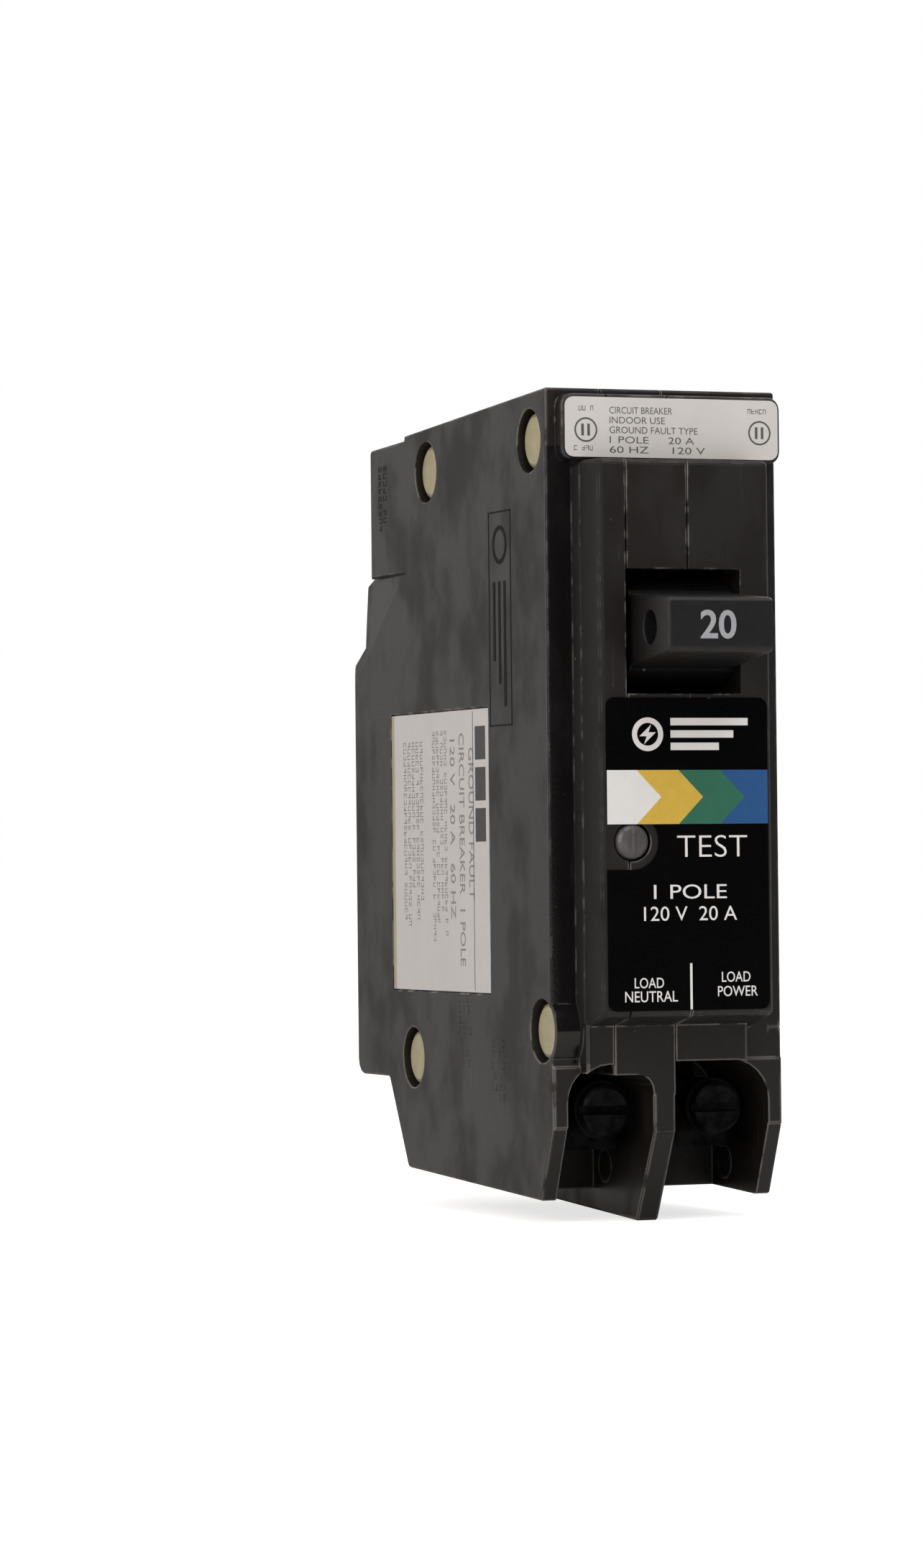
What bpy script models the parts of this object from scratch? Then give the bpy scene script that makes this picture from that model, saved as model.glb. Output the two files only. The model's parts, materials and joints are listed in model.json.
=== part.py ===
"""Single-pole plug-on circuit breaker with ground-fault protection, as an assembly of separate pieces.

Every size below is in millimetres, in the drawing frame: x runs across the pole from its left side face,
y runs back from the front shoulder of the case, and z runs up from the load end to the line end.
The world origin is the middle of the rear seat, where a panel holds the breaker.
"""

import math

import bmesh
import bpy
from mathutils import Matrix, Vector

# ---------------------------------------------------------------- driving dimensions, in millimetres
MM = 0.001
POLE_WIDTH = 25.4            # one inch, the pitch of the spaces in a panel
CASE_DEPTH = 58.2            # front shoulder to rear seat
CASE_HEIGHT = 84.0           # height of the line end in the drawing frame
SEAT_MIDDLE = 36.0           # height of the world origin on the rear seat
WALL = 1.6                   # moulded wall
SEAM_LEFT = 6.05             # left cover against centre frame
SEAM_RIGHT = 12.75           # centre frame against right base
SEAM_GAP = 0.16
CONTACT_GAP = 0.05           # between pieces that rest on each other
WEB = (10.3, 12.72)          # insulating web of the centre frame, also the divider of the wire pockets

# front panel around the handle
PANEL_FRONT = -6.5
PANEL_X = (2.95, 21.8)
PANEL_Z = (20.2, 76.4)
PANEL_FOOT_X = (2.9, 22.3)
PANEL_FOOT_Z = (18.5, 76.6)
LEDGE_X = 2.8                # a narrow ledge along the left foot of the panel
PAD_FRONT = -1.7             # raised pad under the top label
PAD_X = (1.1, 25.3)
PAD_Z = (76.5, 83.3)
DECK_FRONT = -2.1            # raised deck above the wire pockets
DECK_X = (3.05, 20.75)

# printed labels
LABEL_SHEET = 0.12
FRONT_LABEL_X = (3.6, 21.25)
FRONT_LABEL_Z = (20.75, 52.3)
TOP_LABEL_INSET = 0.35
SIDE_LABEL_Y = (17.0, 46.3)
SIDE_LABEL_Z = (22.3, 52.0)
SIDE_RECESS = 0.2            # the side label lies below the side face, so poles stand flat together

# handle
HANDLE_AXIS = (-1.6, 59.1)
HANDLE_X = (6.8, 18.3)
HANDLE_TIP = -15.3
BARREL_RADIUS = 5.3
TIE_HOLE = (-10.7, 59.2)         # y and z of the cross hole for a handle tie or lock
TIE_HOLE_RADIUS = 1.75
SLOT_X = (SEAM_LEFT - 0.1, 18.5)
SLOT_Z = (52.7, 65.3)
WELL_RADIUS = 6.25

# moving contact arm
ARM_AXIS = (9.5, 56.5)
ARM_X = (17.4, 19.2)
ARM_OPEN = math.radians(8.0)     # how far the arm hangs open in the tripped position

# terminals, one in each wire pocket
POCKET_BACK = 14.4
NEUTRAL_X = 5.95
POWER_X = 18.3
SCREW_Z = 10.6
LUG_Y = (5.0, 14.0)
LUG_Z = (6.4, 13.2)
LUG_HALF = 3.45
LUG_WALL = 1.2
CLAMP_Y = (6.3, 6.9)
STRAP_Y = (11.6, 12.6)
STRAP_HALF = 2.2
STRAP_BOSS = 0.4             # the clamped end of a strap stands proud towards the screw
NEUTRAL_RAIL = 2.1           # gap of the neutral clip

# test button
BUTTON_X = 6.4
BUTTON_Z = 37.8
BUTTON_RADIUS = 1.8

# rivets: name, then y and z of the axis
RIVETS = {
    "rivet_top_front": (4.6, 78.9),
    "rivet_top_rear": (34.8, 77.9),
    "rivet_bottom_front": (2.5, 18.7),
    "rivet_bottom_rear": (40.3, 15.0),
}
RIVET_HEAD_RADIUS = 2.85
RIVET_CLENCH_RADIUS = 2.05   # the clenched ends, on the right side
RIVET_SHANK_RADIUS = 1.4
COUNTERBORE_RADIUS = 3.3
CLENCH_BORE_RADIUS = 2.45
COUNTERBORE_DEPTH = 1.5
BOSS_RADIUS = 4.2

# current sensor ring, its axis along x
CORE_CENTRE = (25.0, 27.0)
CORE_RADII = (3.9, 7.0)
CORE_X = (4.2, 7.6)

# trip solenoid, its axis along z
SOLENOID_X = 7.0
SOLENOID_Y = 41.0


# ---------------------------------------------------------------- small geometry tools
def world(x, y, z):
    """Drawing millimetres to world metres."""
    return Vector((x - POLE_WIDTH / 2, y - CASE_DEPTH, z - SEAT_MIDDLE)) * MM


def solid_from(bm):
    """A temporary object from a bmesh in world metres, its faces turned outward."""
    bmesh.ops.recalc_face_normals(bm, faces=bm.faces)
    mesh = bpy.data.meshes.new("solid")
    bm.to_mesh(mesh)
    bm.free()
    solid = bpy.data.objects.new("solid", mesh)
    bpy.context.collection.objects.link(solid)
    return solid


def prism(axis, outline, low, high):
    """An outline swept straight along an axis. It is (y, z) for x, (x, z) for y and (x, y) for z."""
    place = {
        "x": lambda u, v, w: world(w, u, v),
        "y": lambda u, v, w: world(u, w, v),
        "z": lambda u, v, w: world(u, v, w),
    }[axis]
    bm = bmesh.new()
    start = [bm.verts.new(place(u, v, low)) for u, v in outline]
    end = [bm.verts.new(place(u, v, high)) for u, v in outline]
    bm.faces.new(start)
    bm.faces.new(end)
    for i in range(len(outline)):
        j = (i + 1) % len(outline)
        bm.faces.new((start[i], start[j], end[j], end[i]))
    return solid_from(bm)


def box(x, y, z):
    """A block between two corners, each axis as (low, high)."""
    return prism("x", [(y[0], z[0]), (y[1], z[0]), (y[1], z[1]), (y[0], z[1])], x[0], x[1])


def circle(u, v, radius, sides=24, start=0.0, sweep=math.tau):
    """Points on a circle, or on an arc with both of its ends."""
    closed = math.isclose(sweep, math.tau)
    count = sides if closed else sides + 1
    angles = [start + sweep * i / sides for i in range(count)]
    return [(u + radius * math.cos(a), v + radius * math.sin(a)) for a in angles]


def rod(axis, centre, radius, low, high, sides=24):
    """A round bar along an axis."""
    return prism(axis, circle(centre[0], centre[1], radius, sides), low, high)


def fillet(corners, steps=4):
    """An outline from corners (u, v, radius), each corner turned with an arc of its radius."""
    outline = []
    for i, (u, v, radius) in enumerate(corners):
        here = Vector((u, v))
        if radius == 0:
            outline.append((u, v))
            continue
        before = (Vector(corners[i - 1][:2]) - here).normalized()
        after = (Vector(corners[(i + 1) % len(corners)][:2]) - here).normalized()
        half = before.angle(after) / 2
        middle = here + (before + after).normalized() * radius / math.sin(half)
        first = here + before * radius / math.tan(half) - middle
        last = here + after * radius / math.tan(half) - middle
        turn = first.angle_signed(last)
        for step in range(steps + 1):
            spoke = Matrix.Rotation(-turn * step / steps, 2) @ first
            outline.append(tuple(middle + spoke))
    return outline


def frustum(front, front_rect, back, back_rect):
    """A drafted block between two (x0, x1, z0, z1) rectangles at two depths."""
    bm = bmesh.new()
    rings = []
    for y, (x0, x1, z0, z1) in ((front, front_rect), (back, back_rect)):
        rings.append([bm.verts.new(world(x, y, z)) for x, z in ((x0, z0), (x1, z0), (x1, z1), (x0, z1))])
    bm.faces.new(rings[0])
    bm.faces.new(rings[1])
    for i in range(4):
        j = (i + 1) % 4
        bm.faces.new((rings[0][i], rings[0][j], rings[1][j], rings[1][i]))
    return solid_from(bm)


def hull(points):
    """The convex solid around some drawing points."""
    bm = bmesh.new()
    for point in points:
        bm.verts.new(world(*point))
    bmesh.ops.convex_hull(bm, input=bm.verts)
    return solid_from(bm)


def turned(axis, centre, profile, sides=24):
    """A round solid around an axis, from (distance along the axis, radius) stations."""
    place = {
        "x": lambda along, u, v: world(along, u, v),
        "y": lambda along, u, v: world(u, along, v),
        "z": lambda along, u, v: world(u, v, along),
    }[axis]
    bm = bmesh.new()
    rings = []
    for along, radius in profile:
        points = circle(centre[0], centre[1], radius, sides)
        rings.append([bm.verts.new(place(along, u, v)) for u, v in points])
    bm.faces.new(rings[0])
    bm.faces.new(rings[-1])
    for lower, upper in zip(rings, rings[1:]):
        for i in range(sides):
            j = (i + 1) % sides
            bm.faces.new((lower[i], lower[j], upper[j], upper[i]))
    return solid_from(bm)


def swept(path, radius, sides=7):
    """A round wire that follows a list of drawing points."""
    points = [Vector(p) for p in path]
    bm = bmesh.new()
    rings = []
    across = None
    for i, point in enumerate(points):
        ahead = points[min(i + 1, len(points) - 1)] - points[max(i - 1, 0)]
        ahead.normalize()
        if across is None:
            across = ahead.orthogonal().normalized()
        across = (across - ahead * across.dot(ahead)).normalized()
        up = ahead.cross(across)
        ring = []
        for k in range(sides):
            angle = math.tau * k / sides
            spot = point + (across * math.cos(angle) + up * math.sin(angle)) * radius
            ring.append(bm.verts.new(world(*spot)))
        rings.append(ring)
    bm.faces.new(rings[0])
    bm.faces.new(rings[-1])
    for lower, upper in zip(rings, rings[1:]):
        for k in range(sides):
            n = (k + 1) % sides
            bm.faces.new((lower[k], lower[n], upper[n], upper[k]))
    return solid_from(bm)


def smooth_route(points, steps=6):
    """Points along a Catmull-Rom curve through the route's own points."""
    knots = [Vector(p) for p in points]
    knots = [2 * knots[0] - knots[1]] + knots + [2 * knots[-1] - knots[-2]]
    route = []
    for a, b, c, d in zip(knots, knots[1:], knots[2:], knots[3:]):
        for step in range(steps):
            t = step / steps
            route.append(0.5 * (2 * b + (c - a) * t + (2 * a - 5 * b + 4 * c - d) * t * t
                                + (3 * b - a - 3 * c + d) * t ** 3))
    route.append(knots[-2])
    return route


def coil(start, end, radius, wire, turns, steps=8):
    """A helical spring between two drawing points, its wire's radius given."""
    start = Vector(start)
    along = Vector(end) - start
    across = along.orthogonal().normalized()
    up = along.normalized().cross(across)
    path = []
    for i in range(turns * steps + 1):
        angle = math.tau * i / steps
        path.append(start + along * i / (turns * steps)
                    + (across * math.cos(angle) + up * math.sin(angle)) * radius)
    return swept(path, wire, sides=4)


def soften(solid, width, segments=2, keep=lambda middle: True):
    """Round the convex edges whose middle, in drawing millimetres, passes the test."""
    bm = bmesh.new()
    bm.from_mesh(solid.data)
    edges = []
    for edge in bm.edges:
        middle = (edge.verts[0].co + edge.verts[1].co) / 2 / MM
        middle += Vector((POLE_WIDTH / 2, CASE_DEPTH, SEAT_MIDDLE))
        if edge.calc_face_angle_signed() > math.radians(30) and keep(middle):
            edges.append(edge)
    bmesh.ops.bevel(bm, geom=edges, offset=width * MM, segments=segments, profile=0.5,
                    affect="EDGES", clamp_overlap=True)
    bm.to_mesh(solid.data)
    bm.free()
    return solid


def combine(solid, tool, operation):
    """Boolean with the exact solver. The tool is used up."""
    modifier = solid.modifiers.new("boolean", "BOOLEAN")
    modifier.operation = operation
    modifier.solver = "EXACT"
    modifier.object = tool
    bpy.context.view_layer.update()
    graph = bpy.context.evaluated_depsgraph_get()
    mesh = bpy.data.meshes.new_from_object(solid.evaluated_get(graph))
    solid.modifiers.clear()
    solid.data = mesh
    bpy.data.objects.remove(tool)
    return solid


def cut(solid, *tools):
    for tool in tools:
        combine(solid, tool, "DIFFERENCE")
    return solid


def join(solid, *tools):
    for tool in tools:
        combine(solid, tool, "UNION")
    return solid


def copy_of(solid):
    twin = bpy.data.objects.new("solid", solid.data.copy())
    bpy.context.collection.objects.link(twin)
    return twin


# ---------------------------------------------------------------- finishes
FINISHES = {
    # name: (colour, roughness, metallic)
    "case_plastic": ((0.042, 0.037, 0.035), 0.42, 0.0),
    "handle_plastic": ((0.016, 0.015, 0.016), 0.38, 0.0),
    "button_plastic": ((0.085, 0.085, 0.09), 0.3, 0.0),
    "rivet_plate": ((0.55, 0.5, 0.3), 0.42, 0.6),
    "black_print": ((0.006, 0.006, 0.007), 0.22, 0.0),
    "white_print": ((0.68, 0.66, 0.62), 0.5, 0.0),
    "copper": ((0.72, 0.33, 0.18), 0.3, 1.0),
    "silver_contact": ((0.78, 0.77, 0.74), 0.3, 1.0),
    "zinc_steel": ((0.55, 0.56, 0.58), 0.36, 1.0),
    "black_steel": ((0.07, 0.07, 0.075), 0.45, 1.0),
    "spring_steel": ((0.45, 0.46, 0.48), 0.28, 1.0),
    "tin_plate": ((0.66, 0.66, 0.65), 0.4, 1.0),
    "fibre": ((0.3, 0.12, 0.07), 0.75, 0.0),
    "board_laminate": ((0.02, 0.12, 0.05), 0.45, 0.0),
    "chip_epoxy": ((0.02, 0.02, 0.022), 0.55, 0.0),
    "blue_coating": ((0.03, 0.09, 0.3), 0.4, 0.0),
    "yellow_film": ((0.6, 0.42, 0.08), 0.45, 0.0),
    "ferrite": ((0.06, 0.06, 0.07), 0.6, 0.0),
}


def finish_material(name):
    """A Principled material, made once for each finish."""
    if name in bpy.data.materials:
        return bpy.data.materials[name]
    colour, roughness, metallic = FINISHES[name]
    material = bpy.data.materials.new(name)
    material.use_nodes = True
    shader = material.node_tree.nodes["Principled BSDF"]
    shader.inputs["Base Color"].default_value = (*colour, 1.0)
    shader.inputs["Roughness"].default_value = roughness
    shader.inputs["Metallic"].default_value = metallic
    return material


def make_part(name, solid, finish, pivot=None, turn_x=0.0):
    """Name a solid, give it its finish and put its origin on its pivot, turned about x to its rest pose."""
    mesh = solid.data
    bm = bmesh.new()
    bm.from_mesh(mesh)
    bmesh.ops.remove_doubles(bm, verts=bm.verts, dist=0.002 * MM)
    bmesh.ops.dissolve_degenerate(bm, edges=bm.edges, dist=0.001 * MM)
    bm.to_mesh(mesh)
    bm.free()
    if pivot is not None:
        origin = world(*pivot)
        mesh.transform(Matrix.Translation(-origin))
        solid.location = origin
        solid.rotation_euler = (turn_x, 0.0, 0.0)
    mesh.materials.clear()
    mesh.materials.append(finish_material(finish))
    mesh.shade_smooth()
    mesh.set_sharp_from_angle(angle=math.radians(32))
    solid.name = name
    mesh.name = name
    return solid


# ---------------------------------------------------------------- moulded case
def case_body():
    """The closed outer shape of the case, before it is split into its three mouldings."""
    side = fillet([
        (0.0, CASE_HEIGHT, 0.3), (41.4, 82.3, 0.0), (41.6, 81.8, 0.0), (52.4, 81.5, 0.5), (52.4, 67.3, 0.0),
        (54.6, 66.6, 0.4), (54.6, 59.9, 0.0), (CASE_DEPTH, 58.0, 0.6), (CASE_DEPTH, 12.7, 1.7),
        (48.2, 12.7, 0.9), (42.4, 3.0, 0.8), (3.2, 1.4, 0.4), (0.0, 8.6, 0.5),
    ], steps=3)
    body = prism("x", side, 0.0, POLE_WIDTH)
    return soften(body, 0.25, 2, lambda p: p.x < 0.01 or p.x > POLE_WIDTH - 0.01)


def front_panel():
    """The drafted block around the handle and the front label, with a narrow ledge along its left foot."""
    inside = 1.0
    panel = frustum(PANEL_FRONT, (*PANEL_X, *PANEL_Z), inside, (*PANEL_FOOT_X, *PANEL_FOOT_Z))
    soften(panel, 0.6, 3, lambda p: p.y < 0.9)
    ledge = box((LEDGE_X, LEDGE_X + 2), (DECK_FRONT, inside), (19.4, 76.0))
    soften(ledge, 0.12, 1, lambda p: p.y < 0)
    return join(panel, ledge)


def rounded(x, z, radius):
    """A rectangle over x and z with round corners."""
    return fillet([(x[0], z[0], radius), (x[1], z[0], radius), (x[1], z[1], radius), (x[0], z[1], radius)])


def label_pad():
    """The raised pad under the top label."""
    pad = prism("y", rounded(PAD_X, PAD_Z, 1.2), PAD_FRONT, 1.0)
    return soften(pad, 0.3, 2, lambda p: p.y < PAD_FRONT + 0.01)


def terminal_deck():
    """The raised deck above the wire pockets, the cheeks at their outer sides and an ear round a rivet."""
    deck = box(DECK_X, (DECK_FRONT, 1.0), (12.0, 20.0))
    soften(deck, 0.2, 1, lambda p: p.y < 0.9)
    left = box((0.1, DECK_X[0] + 0.5), (-0.3, 1.0), (8.8, 15.1))
    right = box((DECK_X[1] - 0.5, POLE_WIDTH - 0.1), (-0.3, 1.0), (8.8, 15.6))
    for cheek in (left, right):
        soften(cheek, 0.15, 1, lambda p: p.y < 0)
    centre = RIVETS["rivet_bottom_front"]
    ear = rod("x", centre, COUNTERBORE_RADIUS + 0.45, 0.05, DECK_X[0] + 0.3, sides=32)
    return join(deck, left, right, ear)


def pocket_divider():
    """The tongue between the wire pockets, which also stands proud below the case."""
    outline = [(DECK_FRONT, 16.0), (DECK_FRONT, 8.4), (2.9, -0.9), (26.5, 0.2), (30.5, 3.6), (30.5, 16.0)]
    return soften(prism("x", outline, *WEB), 0.2, 1, lambda p: p.z < 15.9)


def wire_pockets():
    """Arch-topped openings, open to the front and to the load end."""
    left, right = WALL, POLE_WIDTH - WALL
    bottom, front = -4.0, -4.0
    tall = [(left, bottom), *circle(left + 3.9, 11.4, 3.9, 6, math.pi, -math.pi / 2),
            (SEAM_LEFT, 15.3), (SEAM_LEFT, bottom)]
    low = [(SEAM_LEFT, bottom), (SEAM_LEFT, 14.2),
           *circle(WEB[0] - 1.7, 12.5, 1.7, 4, math.pi / 2, -math.pi / 2), (WEB[0], bottom)]
    wide = [(WEB[1], bottom), (WEB[1], 15.5), *circle(right - 4.2, 11.3, 4.2, 6, math.pi / 2, -math.pi / 2),
            (right, bottom)]
    return [prism("y", outline, front, POCKET_BACK) for outline in (tall, low, wide)]


def handle_well():
    """The slot in the front panel and the round well that the handle's barrel turns in."""
    slot = box(SLOT_X, (PANEL_FRONT - 2, HANDLE_AXIS[0]), SLOT_Z)
    well = rod("x", HANDLE_AXIS, WELL_RADIUS, *SLOT_X, sides=32)
    pin_hole = rod("x", HANDLE_AXIS, 1.35, 4.6, 20.4, sides=16)
    return [slot, well, pin_hole]


def panel_hollows():
    """Spaces behind the front panel, on both sides of the web."""
    hollows = []
    for z in ((24.0, 50.6), (67.0, 74.6)):
        for x in ((5.6, WEB[0]), (WEB[1], 20.2)):
            hollows.append(box(x, (PANEL_FRONT + WALL, 2.2), z))
    return hollows


def rivet_holes():
    """Clear holes for the shanks, and a counterbore for each head and each clenched end."""
    holes = []
    right = POLE_WIDTH - COUNTERBORE_DEPTH
    for centre in RIVETS.values():
        holes.append(rod("x", centre, RIVET_SHANK_RADIUS + 0.3, -1.0, POLE_WIDTH + 1, sides=12))
        holes.append(rod("x", centre, COUNTERBORE_RADIUS, -1.0, COUNTERBORE_DEPTH, sides=24))
        holes.append(rod("x", centre, CLENCH_BORE_RADIUS, right, POLE_WIDTH + 1, sides=24))
    return holes


def case_openings():
    """Openings for the button, the line stab, the neutral rail, the straps, the leads and adjustment."""
    openings = [
        rod("y", (BUTTON_X, BUTTON_Z), BUTTON_RADIUS + 0.2, PANEL_FRONT - 1, 2.5, sides=24),
        box((14.0, 22.4), (50.0, 54.0), (70.9, 76.1)),
        box((3.0, 9.4), (56.0, CASE_DEPTH + 1), (14.9, 20.3)),
        rod("x", (25.0, 28.4), 1.4, WEB[0] - 1, WEB[1] + 1, sides=12),
        rod("x", (32.0, 12.0), 1.4, WEB[0] - 1, WEB[1] + 1, sides=12),
        rod("y", (POWER_X, 24.0), 1.8, 50.0, CASE_DEPTH + 1, sides=16),
    ]
    play = 0.3
    half = STRAP_HALF + play
    for centre in (NEUTRAL_X, POWER_X):
        y = (STRAP_Y[0] - play, STRAP_Y[1] + play)
        openings.append(box((centre - half, centre + half), y, (12.5, 18.5)))
    return openings


def label_recess():
    """The shallow pocket in the left side face that holds the side label."""
    play = 0.15
    y = (SIDE_LABEL_Y[0] - play, SIDE_LABEL_Y[1] + play)
    z = (SIDE_LABEL_Z[0] - play, SIDE_LABEL_Z[1] + play)
    return box((-1.0, SIDE_RECESS), y, z)


def jaw_relief(side, inward):
    """A shallow facet that thins a side of the case towards the line jaw."""
    depth = side + inward * 0.7
    out = side - inward
    line = [(41.7, 67.5), (59.0, 55.0), (59.0, 67.5)]
    return hull([(side, *line[0]), (side, *line[1]), (depth, *line[2])] + [(out, y, z) for y, z in line])


def cavity(low, high):
    """The space inside the case between two x planes, around the rivet bosses."""
    outline = [
        (WALL, 17.2), (WALL, 82.2), (41.0, 80.6), (50.8, 80.0), (50.8, 66.0), (53.0, 65.4), (53.0, 59.2),
        (56.6, 57.2), (56.6, 14.3), (47.3, 14.3), (41.7, 4.6), (16.0, 3.7), (16.0, 17.2),
    ]
    space = prism("x", outline, low, high)
    for centre in RIVETS.values():
        cut(space, rod("x", centre, BOSS_RADIUS, low - 1, high + 1, sides=14))
    return space


def make_case():
    """Split the outer shape at its two seams, and hollow each moulding."""
    outer = join(case_body(), front_panel(), label_pad(), terminal_deck(), pocket_divider())
    cut(outer, *wire_pockets(), *handle_well(), *panel_hollows(), *rivet_holes(), *case_openings())
    cut(outer, label_recess(), jaw_relief(0.0, 1.0), jaw_relief(POLE_WIDTH, -1.0))
    half = SEAM_GAP / 2
    layers = {
        "left_cover": ((-1.0, SEAM_LEFT - half), [(WALL, SEAM_LEFT + 1)]),
        "centre_frame": ((SEAM_LEFT + half, SEAM_RIGHT - half),
                         [(SEAM_LEFT - 1, WEB[0]), (WEB[1], SEAM_RIGHT + 1)]),
        "right_base": ((SEAM_RIGHT + half, POLE_WIDTH + 1), [(SEAM_RIGHT - 1, POLE_WIDTH - WALL)]),
    }
    for name, (slab, hollows) in layers.items():
        layer = combine(copy_of(outer), box(slab, (-30, 80), (-20, 110)), "INTERSECT")
        for low, high in hollows:
            cut(layer, cavity(low, high))
        make_part(name, layer, "case_plastic")
    bpy.data.objects.remove(outer)


def rivet_end(radius):
    """The depth below a side face and the radius, from the flat of a rivet's end to its shank."""
    sink = 0.55
    seat = COUNTERBORE_DEPTH - CONTACT_GAP
    return [(sink, radius - 0.45), (sink + 0.2, radius - 0.08), (seat, radius), (seat, RIVET_SHANK_RADIUS)]


def make_rivets():
    """Rivets through all three mouldings, with a wide head on the left and a clenched end on the right."""
    clench = [(POLE_WIDTH - depth, radius) for depth, radius in rivet_end(RIVET_CLENCH_RADIUS)]
    profile = rivet_end(RIVET_HEAD_RADIUS) + clench[::-1]
    for name, centre in RIVETS.items():
        make_part(name, turned("x", centre, profile, sides=24), "rivet_plate")


# ---------------------------------------------------------------- labels
def make_labels():
    """Thin printed labels on the front panel, on the top pad and in the recess of the left side."""
    corner = 0.9
    window = 2.85
    face = PANEL_FRONT - CONTACT_GAP
    front = prism("y", rounded(FRONT_LABEL_X, FRONT_LABEL_Z, corner), face - LABEL_SHEET, face)
    through = (PANEL_FRONT - 1, PANEL_FRONT + 1)
    cut(front, rod("y", (BUTTON_X, BUTTON_Z), window, *through, sides=32),
        box((FRONT_LABEL_X[0] - 1, BUTTON_X), through, (BUTTON_Z - window + 0.01, BUTTON_Z + window - 0.01)))
    make_part("front_label", front, "black_print")

    face = PAD_FRONT - CONTACT_GAP
    x = (PAD_X[0] + TOP_LABEL_INSET, PAD_X[1] - TOP_LABEL_INSET)
    z = (PAD_Z[0] + TOP_LABEL_INSET, PAD_Z[1] - TOP_LABEL_INSET)
    make_part("top_label", prism("y", rounded(x, z, corner), face - LABEL_SHEET, face), "white_print")

    floor = SIDE_RECESS - CONTACT_GAP
    make_part("side_label", box((floor - LABEL_SHEET, floor), SIDE_LABEL_Y, SIDE_LABEL_Z), "white_print")


# ---------------------------------------------------------------- handle and contact mechanism
def make_handle():
    """Barrel, lever and the crank that drives the contact arm, in one moulding on a steel pin."""
    y, z = HANDLE_AXIS
    low, high = z - 2.5, z + 2.95
    lever = fillet([(y - 2, z - 4, 0), (HANDLE_TIP, low, 0.6), (HANDLE_TIP, high, 0.6), (y - 2, z + 4, 0)])
    body = rod("x", HANDLE_AXIS, BARREL_RADIUS, *HANDLE_X, sides=36)
    middle = sum(HANDLE_X) / 2
    blade = prism("x", lever, *HANDLE_X)
    soften(blade, 0.35, 2, lambda p: abs(p.x - middle) > 5.6 and p.y < y - 5)
    crank = soften(box((14.6, 17.0), (y, y + 7.9), (z - 2.0, z + 2.0)), 0.6, 2, lambda p: p.y > y + 7)
    join(body, blade, crank)
    cut(body, rod("x", HANDLE_AXIS, 1.35, 0.0, 30.0, sides=16))
    cut(body, rod("x", TIE_HOLE, TIE_HOLE_RADIUS, 0.0, 30.0, sides=24))
    make_part("handle", body, "handle_plastic", (middle, y, z))
    make_part("handle_pin", rod("x", HANDLE_AXIS, 1.1, 4.9, 20.1, sides=16), "spring_steel")


def make_contact_arm():
    """The moving arm with its contact. It is drawn closed and hangs open at rest."""
    y, z = ARM_AXIS
    pivot = (sum(ARM_X) / 2, y, z)
    outline = [(y - 1.4, z + 2.0), (y + 19.4, z + 10.2), (y + 24.8, z + 10.2), (y + 24.8, z + 8.2),
               (y + 19.9, z + 8.2), (y + 1.0, z - 2.2)]
    arm = join(prism("x", outline, *ARM_X), rod("x", ARM_AXIS, 2.4, *ARM_X, sides=20))
    cut(arm, rod("x", ARM_AXIS, 1.25, 0.0, 30.0, sides=16))
    make_part("moving_arm", arm, "copper", pivot, -ARM_OPEN)
    pad_z = z + 10.2 + CONTACT_GAP
    pad = box((16.8, 19.8), (y + 20.8, y + 24.2), (pad_z, pad_z + 1.15))
    soften(pad, 0.3, 1, lambda p: p.z > pad_z + 1)
    make_part("moving_contact", pad, "silver_contact", pivot, -ARM_OPEN)
    make_part("arm_pin", rod("x", ARM_AXIS, 1.0, SEAM_RIGHT + 0.1, 23.5, sides=16), "spring_steel")
    spring = coil((15.4, y + 5.0, z - 1.0), (15.4, y + 18.0, z - 2.2), 0.85, 0.24, 7)
    make_part("toggle_spring", spring, "spring_steel", pivot, -ARM_OPEN)


def make_line_side():
    """The jaw that plugs on the bus stab, its backing spring and the fixed contact."""
    tongue_z = ARM_AXIS[1] + 10.2 + 1.15 + 1.4
    floor = tongue_z + 1.5
    outline = [
        (30.2, tongue_z), (50.3, tongue_z), (50.3, 72.2), (48.6, 72.2), (46.6, floor), (43.4, floor),
        (43.4, 76.1), (46.6, 76.1), (48.6, 74.8), (50.2, 74.8), (50.3, 77.6), (41.9, 77.6), (41.9, floor),
        (30.2, floor),
    ]
    make_part("line_jaw", prism("x", outline, 14.6, 21.8), "copper")
    pad = box((16.8, 19.8), (30.6, 33.6), (tongue_z - 1.15, tongue_z - CONTACT_GAP))
    make_part("fixed_contact", soften(pad, 0.3, 1, lambda p: p.z < tongue_z - 1), "silver_contact")
    clip = [
        (14.8, 67.7), (23.2, 67.7), (23.2, 78.8), (14.8, 78.8), (14.8, 77.9), (22.3, 77.9), (22.3, 68.6),
        (14.8, 68.6),
    ]
    make_part("jaw_spring", prism("y", clip, 44.4, 50.0), "spring_steel")


def make_arc_chute():
    """A fibre channel with three notched steel plates that split the arc."""
    outline = [
        (13.6, 36.4), (14.4, 36.4), (14.4, 42.2), (22.2, 42.2), (22.2, 36.4), (23.0, 36.4), (23.0, 43.0),
        (13.6, 43.0),
    ]
    make_part("arc_chute", prism("z", outline, 57.4, 66.9), "fibre")
    plate = [(14.7, 36.6), (17.2, 36.6), (18.3, 39.4), (19.4, 36.6), (21.9, 36.6), (21.9, 41.9), (14.7, 41.9)]
    first, pitch = 58.6, 2.9
    for number in range(3):
        low = first + number * pitch
        make_part(f"arc_plate_{number + 1}", prism("z", plate, low, low + 0.9), "zinc_steel")


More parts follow.
